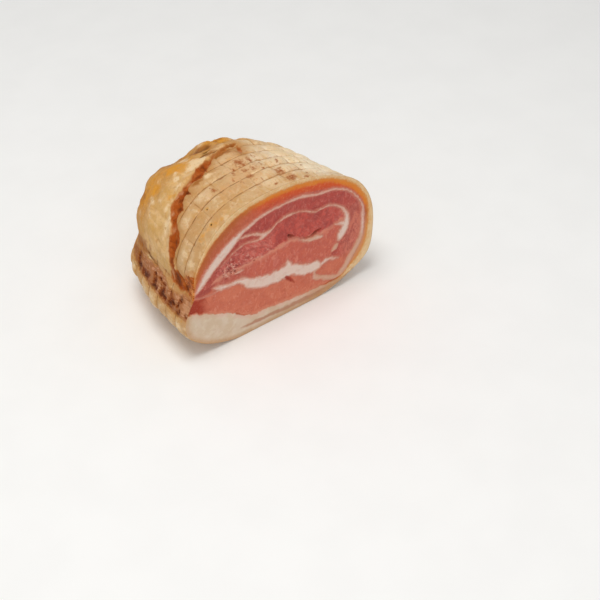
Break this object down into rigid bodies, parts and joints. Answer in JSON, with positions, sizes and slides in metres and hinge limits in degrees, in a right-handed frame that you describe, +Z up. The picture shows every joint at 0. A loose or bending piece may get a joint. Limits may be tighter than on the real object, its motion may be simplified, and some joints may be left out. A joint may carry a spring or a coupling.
{
  "type": "rolled pork belly joint",
  "caption": "Rolled, netted and smoked pork belly joint, cut through so that its layers of fat and lean show on one end; lies flat on its underside.",
  "frame": {"origin": "middle of the bounding box, on the surface the joint rests on", "axes": "+Z up; the roll's axis runs along Y, with the cut face towards -Y and the rounded end towards +Y; the seam is on the -X side"},
  "size_m": [0.1634, 0.1106, 0.1122],
  "materials": {
    "cured_pork": "moist satin skin; pink lean and white fat on the cut face"
  },
  "bodies": {
    "root": {"rolled_pork_belly": "cured_pork"}
  },
  "joints": []
}
